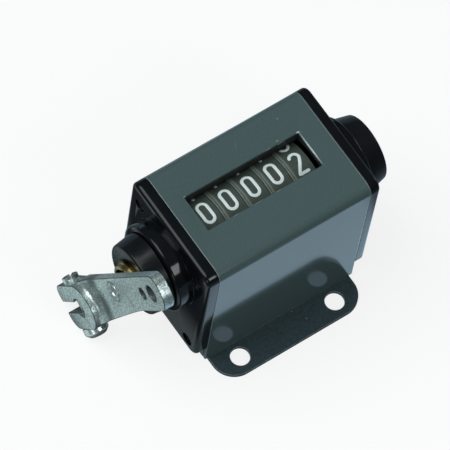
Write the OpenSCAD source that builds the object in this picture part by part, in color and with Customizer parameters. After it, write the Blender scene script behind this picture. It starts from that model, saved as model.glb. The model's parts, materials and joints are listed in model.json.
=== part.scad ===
// Five-figure mechanical stroke counter: a box on a punched foot, a swinging lever on
// the left, five number wheels with internal carry gears, and a reset knob on the right.
// +X runs to the knob, -Y is the front, +Z is up. The origin is the middle of the
// four-hole pattern on the underside of the foot.

/* [Cover] */
// Length of the cover between the end caps
cover_len = 47.3; // [42:0.1:56]
// Depth of the cover, front to rear
cover_depth = 35; // [35:0.5:44]
// Height of the cover's top above the underside of the foot
body_height = 50; // [50:0.5:60]
// Thickness of the cover's sheet
cover_sheet = 1; // [0.6:0.1:1.4]
// Outer radius of the cover's two bends
bend_r = 3; // [2:0.5:5]
// Width of the window in the cover
window_wid = 11.1; // [9:0.1:12.5]
// Middle of the window towards the rear
window_y = 0.87; // [-0.5:0.01:1.5]

/* [Foot] */
// Distance of the foot's ends inside the ends of the cover
foot_inset = 1; // [0:0.1:3]
// Width of the foot, over both flanges
foot_wid = 52.8; // [52:0.1:66]
// Thickness of the foot's sheet
foot_sheet = 1.2; // [0.8:0.1:2]
// Corner radius of the foot
foot_corner_r = 6.5; // [4:0.5:10]
// Diameter of the mounting holes
foot_hole_d = 5.4; // [3.5:0.1:6]
// Distance of the mounting holes along X
foot_pitch_x = 30.4; // [24:0.1:34]
// Distance of the mounting holes along Y
foot_pitch_y = 43.2; // [43:0.1:46]
// Diameter of the foot rivets
rivet_d = 2.6; // [2:0.1:3.2]

/* [End caps] */
// Thickness of the left end cap
left_cap_t = 3.6; // [3:0.1:5]
// Thickness of the right end cap
right_cap_t = 3; // [2.6:0.1:5]
// Height of the caps' lower edge above the foot's underside
cap_bottom = 6; // [3:0.5:7]
// Rounding along the outer edge of the caps
cap_edge_r = 1.1; // [0.5:0.1:1.6]
// Radius of the left collar
left_collar_r = 12.5; // [12:0.1:13.5]
// Height of the left collar
left_collar_h = 4.5; // [4:0.1:6]
// Radius of the right collar
right_collar_r = 12.1; // [11.5:0.1:13.5]
// Height of the right collar
right_collar_h = 3.5; // [2:0.1:5]
// Distance of the cap screws from the cover's front and rear faces
screw_inset = 4.4; // [4:0.1:5]
// Distance of the upper cap screws below the cover's top
screw_drop = 7.3; // [6.8:0.1:8]
// Distance of the lower cap screws above the caps' lower edge
screw_rise = 4; // [3:0.1:5]
// Diameter of the cap screws' thread
cap_screw_d = 2; // [1.6:0.1:2.5]

/* [Mechanism] */
// Distance of the main axis below the cover's top
axis_drop = 16.1; // [15.5:0.1:18]
// Place of the main axis, front to rear
axis_y = -0.35; // [-0.6:0.05:0.6]
// Thickness of the two frame plates
frame_t = 1.4; // [1:0.1:1.4]
// Clearance between the frame plates and the cover
frame_gap = 0.15; // [0.05:0.05:0.4]
// Radius of the number wheels
wheel_r = 13.3; // [12.8:0.1:13.5]
// Thickness of the carrier plates between the wheels
carrier_t = 0.4; // [0.3:0.05:0.5]
// Play beside each carrier plate
side_play = 0.2; // [0.15:0.01:0.25]
// Diameter of the wheel shaft
shaft_d = 4; // [3.5:0.1:4.2]
// Radial running clearance of shafts and pivots
run_fit = 0.05; // [0.02:0.01:0.08]
// Thickness of the ratchet wheel
ratchet_t = 1.4; // [1:0.1:1.6]
// Radius over the ratchet teeth
ratchet_r = 9; // [8.5:0.1:9.5]
// Diameter of the yoke's bail
bail_d = 2.4; // [2:0.1:2.6]
// Diameter of the drive shaft
drive_d = 6; // [5.6:0.1:6.4]

/* [Drive end] */
// Length of the turning drive boss outside the collar
boss_len = 5.6; // [4.5:0.1:7]
// Radius of the drive boss at its base
boss_base_r = 10.9; // [10.3:0.1:11.5]
// Radius of the drive boss at its end
boss_end_r = 10.15; // [9.5:0.05:10.3]
// Radius of the brass bush's flange
bush_flange_r = 6.2; // [5.8:0.1:7]
// Radius of the brass bush's barrel
bush_r = 5.3; // [4.8:0.1:5.6]
// Distance from the drive boss to the lever
lever_gap = 2.9; // [2.6:0.1:4]
// Play between turning and fixed parts outside the box
play = 0.3; // [0.2:0.05:0.4]

/* [Lever] */
// Thickness of the lever's arm
arm_t = 3; // [2.5:0.1:4]
// Width of the lever's arm
arm_w = 10; // [9:0.1:11]
// Thickness of the clamp hub
hub_t = 6; // [5:0.1:7]
// Radius of the clamp hub
hub_r = 6.5; // [6:0.1:7]
// Distance of the arm's middle line below the main axis
arm_drop = 0.6; // [0:0.1:1]
// Distance of the clamp bore from the main axis
bore_dist = 24; // [23.5:0.1:24.5]
// Radius of the clamp bore
bore_r = 2.7; // [2:0.1:2.9]
// Distance of the jaws' ends from the main axis
jaw_dist = 35; // [34.5:0.1:36]
// Distance of the clamp screw from the main axis
clamp_dist = 28.6; // [28.4:0.1:29]
// Width of the slot between the jaws
slot_w = 3.2; // [2:0.1:3.5]
// Distance of the large link hole from the main axis
link_dist = 27.6; // [26:0.1:30]
// Diameter of the large link hole
link_d = 4.5; // [3.5:0.1:5]
// Distance of the small link hole from the large one
link_step = 6.4; // [5.5:0.1:8]
// Diameter of the small link hole
small_link_d = 3.2; // [2.5:0.1:3.5]
// Lean of the lever towards the front at rest, in degrees
lever_lean = 31; // [30:1:36]

/* [Reset knob] */
// Length of the knob outside its collar
knob_len = 5.4; // [4:0.1:9]
// Radius of the knob at its base
knob_base_r = 10.7; // [10:0.1:11]
// Radius of the knob at its end
knob_end_r = 9.55; // [9:0.05:10]

/* [Hidden] */
$fn = 64;
eps = 0.01;

paint = [0.30, 0.35, 0.36];
gloss_black = [0.09, 0.10, 0.11];
steel = [0.62, 0.64, 0.65];
zinc = [0.60, 0.65, 0.64];
brass = [0.72, 0.58, 0.30];
wheel_grey = [0.25, 0.29, 0.26];
nylon = [0.80, 0.79, 0.74];

// Places along X
end_x = cover_len / 2;
frame_in_x = end_x - frame_t;
left_face_x = -end_x - left_cap_t;
left_rim_x = left_face_x - left_collar_h;
boss_x = left_rim_x - play;
boss_end_x = boss_x - boss_len;
lever_x = boss_end_x - lever_gap;
arm_x = lever_x - arm_t;
hub_x = lever_x - hub_t;
right_face_x = end_x + right_cap_t;
right_rim_x = right_face_x + right_collar_h;
knob_x = right_rim_x + play;
knob_end_x = knob_x + knob_len;

// The main axis and what turns on it
axis_z = body_height - axis_drop;
shaft_r = shaft_d / 2;
drive_r = drive_d / 2;
train_left_room = 3.325;
train_right_room = 5.925;
wheel_pitch = (2 * frame_in_x - train_left_room - train_right_room) / 5;
train_x = -frame_in_x + train_left_room + 2.5 * wheel_pitch;
window_len = 5 * wheel_pitch + 0.35;
window_x = train_x + 0.4;
wheel_w = wheel_pitch - carrier_t - 2 * side_play;
wheel_web = 1.6;
cavity = (wheel_w - wheel_web) / 2;
units_x = train_x + 2 * wheel_pitch;
train_end_x = units_x + wheel_w / 2;

// Internal gears: a ring of ring_teeth in each driven wheel, and its pinion
gear_module = 0.9;
ring_teeth = 20;
pinion_teeth = 6;
ring_pitch_r = gear_module * ring_teeth / 2;
pinion_pitch_r = gear_module * pinion_teeth / 2;
pinion_orbit = ring_pitch_r - pinion_pitch_r;
ring_tip_r = ring_pitch_r - 0.7;
ring_root_r = ring_pitch_r + 1.05;
pinion_tip_r = pinion_pitch_r + 0.7;
pinion_root_r = pinion_pitch_r - 1;
journal_r = 1.4;
pinion_angle = 20;
carry_clear = 0.2;
carry_pinion_tip_r = 2.5;
carry_tooth_tip_r = pinion_orbit + carry_pinion_tip_r + carry_clear;

// Rods in the frame
rod_r = 1;
carrier_angle = 20;
carrier_orbit = wheel_r + 1.9;
tab_r = 1.9;
stay_r = 1.5;
stay_y = cover_depth / 2 - 6;
stay_z = 12;

// Ratchet, yoke and pawls
ratchet_teeth = 10;
ratchet_depth = 1.5;
hub_boss_r = 3.6;
ratchet_x = train_end_x + 0.4;
pawl_t = 1;
pawl_x = ratchet_x + (ratchet_t - pawl_t) / 2;
yoke_t = 1.2;
yoke_right_x = ratchet_x + ratchet_t + 0.6;
yoke_left_x = -frame_in_x + 0.3;
bail_clear = 0.5;
bail_orbit = wheel_r + bail_clear + bail_d / 2;
bail_angle = -115;
bail_end_r = bail_d / 2 + 0.9;
pawl_clear = 0.3;
pawl_pivot_r = 12.4;
pawl_pivot_angle = -95;
pawl_tip_angle = -62;
holding_pivot_r = 12.6;
holding_pivot_angle = 178;
holding_tip_angle = 213;
pin_r = 0.8;
pawl_eye_r = 1.9;

// Screws and the lever's rivet
cap_screw_head_r = 1.8;
cap_screw_head_h = 1;
cross_len = 2.4;
cross_w = 0.5;
screw_y = cover_depth / 2 - screw_inset;
upper_screw_z = body_height - screw_drop;
lower_screw_z = cap_bottom + screw_rise;
rivet_head_r = 2.7;
rivet_head_h = 1.1;
rivet_shank_r = 1.25;
rivet_depth = 5;
bore_over = 0.4;
clamp_r = 1.25;
clamp_head_r = 2.25;
clamp_head_h = 1.5;
clamp_slot_w = 0.8;
clamp_nut_r = 3.4;
clamp_nut_h = 3.1;

// Lever outline: local x runs to the link holes, local y to the lever's lower side
hub_off = 3.3;
clamp_depth = 3;
hub_dist = 22;
end_dist = 29.1;
end_corner = 3;
arm_tilt = 1.2;
arm_taper = 1;
flat_w = 4.4;
flat_len = 1.6;

// Angle on the main axis: 0 is the rear, 90 the top
module on_axis(x, a = 0)
    translate([x, axis_y, axis_z]) rotate([90, 0, 90]) rotate([0, 0, a]) children();

module turned()
    on_axis(0) rotate_extrude($fn = 96) children();

module turned_at(r, a)
    on_axis(0, a) translate([r, 0, 0]) children();

function polar(r, a) = [r * cos(a), r * sin(a)];
function arc(cx, cy, r, a1, a2, n = 6) =
    [for (i = [0 : n]) [cx, cy] + polar(r, a1 + (a2 - a1) * i / n)];

// Rounded rectangle from squares and circles, so that its corners stay true arcs
module round_rect(w, h, r) {
    square([w - 2 * r, h], center = true);
    square([w, h - 2 * r], center = true);
    for (sx = [-1, 1], sy = [-1, 1])
        translate([sx * (w / 2 - r), sy * (h / 2 - r)]) circle(r);
}

// A plate with round corners, and its edge at +z rounded by f
module soft_plate(w, h, t, r, f)
    hull() for (sx = [-1, 1], sy = [-1, 1])
        translate([sx * (w / 2 - r), sy * (h / 2 - r), 0]) rotate_extrude($fn = 32)
            polygon(concat([[0, 0], [r, 0]], arc(r - f, t - f, f, 0, 90, 5), [[0, t]]));

// Wire of radius r swept along a list of points
function unit(v) = v / norm(v);
module wire(path, r, sides = 8) {
    n = len(path);
    tangents = [for (i = [0 : n - 1])
        unit(path[min(i + 1, n - 1)] - path[max(i - 1, 0)])];
    rings = [for (i = [0 : n - 1])
        let (t = tangents[i],
             side = unit(cross(t, abs(t[2]) > 0.8 ? [1, 0, 0] : [0, 0, 1])),
             up = cross(side, t))
        for (k = [0 : sides - 1])
            path[i] + r * (side * cos(360 * k / sides) + up * sin(360 * k / sides))];
    walls = [for (i = [0 : n - 2], k = [0 : sides - 1])
        [i * sides + k, i * sides + (k + 1) % sides,
         (i + 1) * sides + (k + 1) % sides, (i + 1) * sides + k]];
    polyhedron(rings, concat(walls,
        [[for (k = [sides - 1 : -1 : 0]) k]],
        [[for (k = [0 : sides - 1]) (n - 1) * sides + k]]), convexity = 8);
}

// Coil of a spring round the local z axis, with a straight leg at each end
function coil(r, pitch, turns, start, leg) = concat(
    [[r * cos(start), r * sin(start), 0] + leg * [sin(start), -cos(start), 0]],
    [for (i = [0 : round(turns * 18)])
        let (a = start + 20 * i) [r * cos(a), r * sin(a), pitch * i / 18]],
    let (a = start + 20 * round(turns * 18))
        [[r * cos(a), r * sin(a), pitch * turns] + leg * [-sin(a), cos(a), 0]]);

// Section of the cover and of what fits inside it, drawn over depth and height
module channel_outline(inset, bottom) {
    half = cover_depth / 2 - inset;
    r = bend_r - inset;
    top = body_height - inset;
    translate([-half, bottom]) square([2 * half, top - r - bottom]);
    translate([-half + r, bottom]) square([2 * (half - r), top - bottom]);
    for (s = [-1, 1])
        translate([s * (half - r), top - r]) circle(r);
}

module extrude_x(x1, x2)
    translate([x1, 0, 0]) rotate([90, 0, 90]) linear_extrude(x2 - x1) children();

module cover()
    color(paint) difference() {
        extrude_x(-end_x, end_x) difference() {
            channel_outline(0, foot_sheet);
            channel_outline(cover_sheet, foot_sheet - eps);
        }
        translate([window_x, window_y, body_height])
            cube([window_len, window_wid, 4 * cover_sheet], center = true);
    }

// Shield below the window, cut round the wheels
shield_wall = 1;
shield_lip = 2;
shield_lip_t = 0.8;
shield_reach = 3.3;
shield_gap = 0.45;
shield_bottom = axis_z + wheel_r - shield_reach;
module window_frame() {
    top = body_height - cover_sheet;
    color(gloss_black) difference() {
        union() {
            translate([window_x, window_y, (top + shield_bottom) / 2])
                cube([window_len + 2 * shield_wall, window_wid + 2 * shield_wall,
                    top - shield_bottom], center = true);
            translate([window_x, window_y, top - shield_lip_t / 2])
                cube([window_len + 2 * shield_lip, window_wid + 2 * shield_lip,
                    shield_lip_t], center = true);
        }
        translate([window_x, window_y, top])
            cube([window_len, window_wid, 4 * axis_drop], center = true);
        on_axis(train_x) cylinder(r = wheel_r + shield_gap, h = 2 * cover_len, center = true);
    }
}

foot_len = cover_len - 2 * foot_inset;
tab_len = 6;
tab_wid = 22;
relief = 1.2;
rivet_x = frame_in_x - tab_len / 2 - 0.4;
rivet_y = 7;
module foot_plate()
    color(gloss_black) difference() {
        linear_extrude(foot_sheet) round_rect(foot_len, foot_wid, foot_corner_r);
        for (sx = [-1, 1], sy = [-1, 1]) {
            translate([sx * foot_pitch_x / 2, sy * foot_pitch_y / 2, -eps])
                cylinder(d = foot_hole_d, h = foot_sheet + 2 * eps);
            translate([sx * rivet_x, sy * rivet_y, -eps])
                cylinder(d = rivet_d, h = foot_sheet + 2 * eps);
        }
    }

// Rivets through the foot and the tabs of the frame plates, flush below
module foot_rivets()
    color(steel) for (sx = [-1, 1], sy = [-1, 1])
        translate([sx * rivet_x, sy * rivet_y, 0]) {
            cylinder(d = rivet_d, h = foot_sheet + frame_t);
            translate([0, 0, foot_sheet + frame_t]) rotate_extrude()
                polygon(concat([[0, 0], [rivet_d * 0.85, 0]],
                    arc(0, -rivet_d * 0.55, rivet_d * 1.01, 33, 90, 5)));
        }

// A frame plate in its own plane, with its tab bent inwards
module frame_plate(inner_x, outer_x, bearing_r) {
    tab_x = inner_x > 0 ? inner_x - tab_len : outer_x;
    difference() {
        union() {
            extrude_x(min(inner_x, outer_x), max(inner_x, outer_x))
                channel_outline(cover_sheet + frame_gap, foot_sheet);
            translate([tab_x, -tab_wid / 2, foot_sheet])
                cube([tab_len + frame_t, tab_wid, frame_t]);
        }
        on_axis(inner_x) cylinder(r = bearing_r, h = 4 * frame_t, center = true);
        turned_at(carrier_orbit, carrier_angle)
            cylinder(r = rod_r, h = 2 * cover_len, center = true);
        for (sy = [-1, 1]) {
            translate([inner_x, sy * stay_y, stay_z]) rotate([0, 90, 0])
                cylinder(r = stay_r, h = 4 * frame_t, center = true);
            for (z = [lower_screw_z, upper_screw_z])
                translate([inner_x, sy * screw_y, z]) rotate([0, 90, 0])
                    cylinder(d = cap_screw_d, h = 4 * frame_t, center = true);
            translate([sign(inner_x) * rivet_x, sy * rivet_y, 0])
                cylinder(d = rivet_d, h = 4 * frame_t);
        }
        // Relief for the bend between plate and tab
        for (sy = [-1, 1])
            translate([inner_x, sy * (tab_wid + relief) / 2, foot_sheet])
                cube([4 * frame_t, relief, 2 * (frame_t + relief / 2)], center = true);
    }
}

bearing_wall = 1.2;
module left_frame_plate()
    color(steel) frame_plate(-frame_in_x, -end_x, drive_r + bearing_wall);

module right_frame_plate()
    color(steel) difference() {
        frame_plate(frame_in_x, end_x, shaft_r + bearing_wall);
        turned_at(holding_pivot_r, holding_pivot_angle)
            cylinder(r = pin_r, h = 2 * cover_len);
    }

module stay_rods()
    color(steel) for (sy = [-1, 1])
        translate([-end_x, sy * stay_y, stay_z]) rotate([0, 90, 0]) {
            cylinder(r = stay_r, h = cover_len);
            translate([0, 0, frame_t]) cylinder(r = stay_r + 0.8, h = cover_len - 2 * frame_t);
        }

module carrier_rod()
    color(steel) turned_at(carrier_orbit, carrier_angle)
        translate([0, 0, -end_x]) cylinder(r = rod_r, h = cover_len);

// Bearing bush with a flange on the inner side of its frame plate
module bearing(bore_r, inner_x, outer_x, flange_t) {
    s = sign(inner_x);
    color(brass) turned() difference() {
        union() {
            translate([0, min(inner_x, outer_x)])
                square([bore_r + bearing_wall, abs(outer_x - inner_x)]);
            translate([0, inner_x - (s > 0 ? flange_t : 0)])
                square([bore_r + bearing_wall + 1, flange_t]);
        }
        translate([0, -cover_len]) square([bore_r + run_fit, 2 * cover_len]);
    }
}

module drive_bearing() bearing(drive_r, -frame_in_x, -end_x, 0.25);
module reset_bearing() bearing(shaft_r, frame_in_x, end_x, 0.8);

// Outer shell of an end cap: plate, screw holes and a turned collar
module cap_shell(t, collar_r, collar_h, bore_r) {
    cap_h = body_height - cap_bottom;
    rim = 0.8;
    difference() {
        union() {
            translate([0, 0, cap_bottom + cap_h / 2]) rotate([90, 0, 90])
                soft_plate(cover_depth, cap_h, t, bend_r, cap_edge_r);
            translate([0, axis_y, axis_z]) rotate([90, 0, 90]) rotate_extrude($fn = 96)
                polygon(concat([[0, t / 2], [collar_r, t / 2]],
                    arc(collar_r - rim, t + collar_h - rim, rim, 0, 90, 5),
                    [[0, t + collar_h]]));
        }
        translate([-eps, axis_y, axis_z]) rotate([0, 90, 0])
            cylinder(r = bore_r, h = t + collar_h + 1);
        for (sy = [-1, 1], z = [lower_screw_z, upper_screw_z])
            translate([0, sy * screw_y, z]) rotate([0, 90, 0]) {
                translate([0, 0, -eps]) cylinder(d = cap_screw_d + 0.2, h = t + 1);
                translate([0, 0, t - cap_screw_head_h - 0.6])
                    cylinder(r = cap_screw_head_r + 0.1, h = cap_screw_head_h + 1);
            }
    }
}

// The left collar is hollow and holds the return spring
spring_room_r = 9.3;
spring_room_floor = 1.2;
module left_end_cap()
    color(gloss_black) difference() {
        translate([-end_x, 0, 0]) mirror([1, 0, 0])
            cap_shell(left_cap_t, left_collar_r, left_collar_h, drive_r + 0.4);
        turned() translate([0, left_rim_x - 1])
            square([spring_room_r, left_cap_t + left_collar_h - spring_room_floor + 1]);
    }

module right_end_cap()
    color(gloss_black) translate([end_x, 0, 0])
        cap_shell(right_cap_t, right_collar_r, right_collar_h, shaft_r + 0.4);

// Cross-slotted fillister screws, from the caps into the frame plates
module cap_screw(t) {
    seat = t - cap_screw_head_h - 0.6;
    difference() {
        union() {
            translate([0, 0, -frame_t]) cylinder(d = cap_screw_d, h = frame_t + seat + eps);
            translate([0, 0, seat]) cylinder(r = cap_screw_head_r, h = cap_screw_head_h);
        }
        for (a = [0, 90])
            rotate([0, 0, a + 25]) translate([0, 0, seat + cap_screw_head_h])
                cube([cross_len, cross_w, cap_screw_head_h], center = true);
    }
}

module cap_screws()
    color(gloss_black) for (s = [-1, 1], sy = [-1, 1], z = [lower_screw_z, upper_screw_z])
        translate([s * end_x, sy * screw_y, z]) rotate([0, 90 * s, 0])
            cap_screw(s < 0 ? left_cap_t : right_cap_t);

// Wheel shaft: from a pilot bore in the drive shaft to the knob
pilot_len = 2;
drive_in_x = yoke_left_x + yoke_t + 0.1;
knob_wall = 2;
knob_screw_len = 4.5;
shaft_end_x = knob_end_x - knob_wall;
module wheel_shaft()
    color(steel) turned() difference() {
        translate([0, drive_in_x - pilot_len])
            square([shaft_r, shaft_end_x - drive_in_x + pilot_len]);
        translate([0, shaft_end_x - knob_screw_len - bore_over])
            square([knob_screw_r, 2 * knob_screw_len]);
    }

knob_screw_r = 1;
knob_screw_head_r = 2.1;
knob_screw_head_h = 1.1;
knob_recess = 1.4;
knob_edge = 0.6;
module reset_knob()
    color(gloss_black) turned() difference() {
        polygon(concat([[0, knob_x], [knob_base_r, knob_x]],
            arc(knob_end_r - knob_edge, knob_end_x - knob_edge, knob_edge, 12, 90, 5),
            [[0, knob_end_x]]));
        translate([0, knob_x - 1]) square([shaft_r, shaft_end_x - knob_x + 1]);
        translate([0, knob_x]) square([knob_screw_r + 0.1, 2 * knob_len]);
        translate([0, knob_end_x - knob_recess])
            polygon([[0, 0], [3.4, 0], [3.8, knob_recess + eps], [0, knob_recess + eps]]);
    }

module knob_screw()
    color(steel) difference() {
        turned() union() {
            translate([0, shaft_end_x - knob_screw_len])
                square([knob_screw_r, knob_screw_len + knob_wall - knob_recess + eps]);
            translate([0, knob_end_x - knob_recess]) polygon(concat([[0, 0], [knob_screw_head_r, 0]],
                arc(knob_screw_head_r - 0.5, knob_screw_head_h - 0.5, 0.5, 0, 90, 4),
                [[0, knob_screw_head_h]]));
        }
        on_axis(knob_end_x - knob_recess + knob_screw_head_h, 35)
            cube([3 * knob_screw_head_r, 0.6, knob_screw_head_h], center = true);
    }

// Teeth as wedges between two radii, each at the pitch of its gear
module gear_teeth(count, r1, r2, w1, w2)
    for (i = [0 : count - 1])
        rotate([0, 0, 360 * i / count])
            polygon([[r1, -w1 / 2], [r2, -w2 / 2], [r2, w2 / 2], [r1, w1 / 2]]);

pinion_root_w = 1.3;
pinion_tip_w = 0.5;
ring_tip_w = 0.55;
ring_root_w = 1.5;
module number_wheel(order, has_ring, has_carry) {
    x0 = units_x - order * wheel_pitch - wheel_w / 2;
    boss = order == 0 ? ratchet_x + ratchet_t - train_end_x : 0;
    color(wheel_grey) on_axis(x0) difference() {
        union() {
            difference() {
                cylinder(r = wheel_r, h = wheel_w, $fn = 120);
                translate([0, 0, -eps]) cylinder(r = ring_root_r, h = cavity + eps);
                translate([0, 0, wheel_w - cavity]) cylinder(r = ring_root_r, h = cavity + eps);
            }
            if (has_ring)
                translate([0, 0, wheel_w - cavity]) linear_extrude(cavity)
                    rotate([0, 0, pinion_angle + 180 / ring_teeth])
                        gear_teeth(ring_teeth, ring_root_r + 0.2, ring_tip_r,
                            ring_root_w, ring_tip_w);
            if (has_carry)
                linear_extrude(cavity) for (a = [-9, 9])
                    rotate([0, 0, pinion_angle + 180 + a])
                        polygon([[ring_root_r + 0.2, -0.7], [carry_tooth_tip_r, -0.3],
                            [carry_tooth_tip_r, 0.3], [ring_root_r + 0.2, 0.7]]);
            if (order == 0)
                translate([0, 0, wheel_w - cavity - eps])
                    cylinder(r = hub_boss_r, h = cavity + boss + eps);
        }
        translate([0, 0, -1]) cylinder(r = shaft_r + run_fit, h = wheel_w + boss + 2);
    }
}

module units_wheel() number_wheel(0, false, true);
module tens_wheel() number_wheel(1, true, true);
module hundreds_wheel() number_wheel(2, true, true);
module thousands_wheel() number_wheel(3, true, true);
module ten_thousands_wheel() number_wheel(4, true, false);

// Ratchet of ten teeth, pressed on the boss of the units wheel
module ratchet_wheel()
    color(steel) on_axis(ratchet_x) difference() {
        linear_extrude(ratchet_t)
            polygon([for (i = [0 : ratchet_teeth - 1], k = [0 : 3])
                let (a = 360 * i / ratchet_teeth)
                k == 0 ? polar(ratchet_r - ratchet_depth, a)
                : k == 1 ? polar(ratchet_r, a + 1)
                : polar(ratchet_r - ratchet_depth * (k - 1) / 2.6, a + 1 + 12 * (k - 1))]);
        translate([0, 0, -1]) cylinder(r = hub_boss_r, h = ratchet_t + 2);
    }

// Plate between two wheels, held by its tab and carrying the pinion in a keyhole
module carrier_plate(order)
    color(steel) on_axis(units_x - (order - 0.5) * wheel_pitch - carrier_t / 2)
        difference() {
            union() {
                cylinder(r = wheel_r, h = carrier_t, $fn = 120);
                rotate([0, 0, carrier_angle]) {
                    translate([carrier_orbit, 0, 0]) cylinder(r = tab_r, h = carrier_t);
                    translate([wheel_r - 2, -tab_r, 0])
                        cube([carrier_orbit - wheel_r + 2, 2 * tab_r, carrier_t]);
                }
            }
            translate([0, 0, -1]) {
                cylinder(r = shaft_r + 0.8, h = carrier_t + 2);
                rotate([0, 0, carrier_angle]) translate([carrier_orbit, 0, 0])
                    cylinder(r = rod_r, h = carrier_t + 2);
                rotate([0, 0, pinion_angle]) {
                    translate([pinion_orbit, 0, 0])
                        cylinder(r = journal_r + run_fit, h = carrier_t + 2);
                    translate([0, -journal_r * 0.85, 0])
                        cube([pinion_orbit, journal_r * 1.7, carrier_t + 2]);
                }
            }
        }

module carrier_plate_1() carrier_plate(1);
module carrier_plate_2() carrier_plate(2);
module carrier_plate_3() carrier_plate(3);
module carrier_plate_4() carrier_plate(4);

// Pinion with six teeth in the driven wheel and three in the driving one
module carry_pinion(order) {
    x = units_x - (order - 0.5) * wheel_pitch;
    half = carrier_t / 2 + side_play;
    deep = cavity - side_play - 0.1;
    color(nylon) on_axis(x, pinion_angle) translate([pinion_orbit, 0, 0]) {
        translate([0, 0, -half - deep]) linear_extrude(deep) {
            circle(pinion_root_r);
            gear_teeth(pinion_teeth, 0.5, pinion_tip_r, pinion_root_w + 0.35, pinion_tip_w);
        }
        translate([0, 0, -half]) cylinder(r = journal_r, h = 2 * half);
        translate([0, 0, half]) linear_extrude(deep) {
            circle(pinion_root_r);
            rotate([0, 0, 60])
                gear_teeth(pinion_teeth / 2, 0.5, carry_pinion_tip_r,
                    pinion_root_w + 0.35, pinion_tip_w + 0.3);
        }
    }
}

module carry_pinion_1() carry_pinion(1);
module carry_pinion_2() carry_pinion(2);
module carry_pinion_3() carry_pinion(3);
module carry_pinion_4() carry_pinion(4);

// Drive shaft: two flats and a bore for the lever and its rivet, a pilot bore at its end
module drive_shaft()
    color(steel) difference() {
        union() {
            turned() translate([0, lever_x]) square([drive_r, drive_in_x - lever_x]);
            intersection() {
                on_axis(lever_x - flat_len) cylinder(r = drive_r, h = flat_len + eps);
                on_axis(lever_x, lever_lean) cube([flat_w, drive_d, 4 * flat_len], center = true);
            }
        }
        on_axis(drive_in_x - pilot_len - 0.3)
            cylinder(r = shaft_r + run_fit, h = pilot_len + 1);
        on_axis(lever_x - flat_len - 1)
            cylinder(r = rivet_shank_r, h = 1 + flat_len + rivet_depth + bore_over);
    }

boss_edge = 0.7;
boss_skirt_r = spring_room_r - play;
boss_skirt = 0.9;
bush_seat = 3;
module drive_boss()
    color(gloss_black) turned() difference() {
        polygon(concat([[0, boss_x + boss_skirt], [boss_skirt_r, boss_x + boss_skirt],
            [boss_skirt_r, boss_x], [boss_base_r, boss_x]],
            arc(boss_end_r - boss_edge, boss_end_x + boss_edge, boss_edge, -8, -90, 5),
            [[0, boss_end_x]]));
        translate([0, boss_end_x - 1]) square([drive_r, boss_len + boss_skirt + 2]);
        translate([0, boss_end_x - 1]) square([bush_r, bush_seat + 1]);
    }

// Flanged brass bush: it clamps the boss, and its open end shows behind the lever
bush_flange = 0.8;
bush_len = 2.2;
bush_bore_r = 4.3;
module boss_bush()
    color(brass) turned() difference() {
        union() {
            translate([0, boss_end_x - bush_len]) square([bush_r, bush_len + bush_seat]);
            translate([0, boss_end_x - bush_flange]) square([bush_flange_r, bush_flange]);
        }
        translate([0, boss_end_x - bush_len - 1]) square([drive_r, 2 + bush_len + bush_seat]);
        translate([0, boss_end_x - bush_len - 1]) square([bush_bore_r, 1 + bush_len]);
    }

// Yoke on the main axis: two arms joined by the bail below the wheels
yoke_hub_r = 5;
module yoke_arm(x, hub_r, bore_r, ends)
    on_axis(x) difference() {
        union() {
            cylinder(r = hub_r, h = yoke_t);
            for (e = ends) {
                tip = polar(e[0], e[1]);
                hull() {
                    cylinder(r = hub_r * 0.6, h = yoke_t, $fn = 32);
                    translate(tip) cylinder(r = bail_end_r, h = yoke_t, $fn = 32);
                }
            }
        }
        translate([0, 0, -1]) cylinder(r = bore_r, h = yoke_t + 2);
        for (e = ends)
            translate(concat(polar(e[0], e[1]), -1)) cylinder(r = e[2], h = yoke_t + 2);
    }

module drive_yoke()
    color(steel) {
        yoke_arm(yoke_left_x, yoke_hub_r, drive_r, [[bail_orbit, bail_angle, 0.5]]);
        yoke_arm(yoke_right_x, shaft_r + 1.6, shaft_r + run_fit,
            [[bail_orbit, bail_angle, 0.5], [pawl_pivot_r, pawl_pivot_angle, pin_r]]);
        turned_at(bail_orbit, bail_angle) translate([0, 0, yoke_left_x])
            cylinder(d = bail_d, h = yoke_right_x + yoke_t - yoke_left_x);
    }

// A pawl from its eye to a hooked tip that stands clear of the ratchet
module pawl(pivot_r, pivot_angle, tip_angle) {
    pivot = polar(pivot_r, pivot_angle);
    tip_r = ratchet_r + pawl_clear;
    tip = polar(tip_r, tip_angle);
    heel = polar(tip_r + 1.9, tip_angle + sign(pivot_angle - tip_angle) * 3);
    on_axis(pawl_x) difference() {
        union() {
            hull() {
                translate(pivot) cylinder(r = pawl_eye_r, h = pawl_t, $fn = 32);
                translate(heel) cylinder(r = 0.6, h = pawl_t, $fn = 16);
            }
            linear_extrude(pawl_t) polygon([tip, heel + polar(0.5, tip_angle),
                polar(tip_r + 2.3, tip_angle + sign(pivot_angle - tip_angle) * 12),
                polar(tip_r + 0.7, tip_angle + sign(pivot_angle - tip_angle) * 11)]);
        }
        translate(concat(pivot, -1)) cylinder(r = pin_r + run_fit, h = pawl_t + 2);
    }
}

module drive_pawl()
    color(steel) pawl(pawl_pivot_r, pawl_pivot_angle, pawl_tip_angle);

module holding_pawl()
    color(steel) pawl(holding_pivot_r, holding_pivot_angle, holding_tip_angle);

pin_x = pawl_x - 0.25;
module drive_pawl_pin()
    color(steel) turned_at(pawl_pivot_r, pawl_pivot_angle)
        translate([0, 0, pin_x]) cylinder(r = pin_r, h = yoke_right_x + yoke_t - pin_x);

module holding_pawl_pin()
    color(steel) turned_at(holding_pivot_r, holding_pivot_angle)
        translate([0, 0, pin_x]) cylinder(r = pin_r, h = end_x - pin_x);

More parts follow.
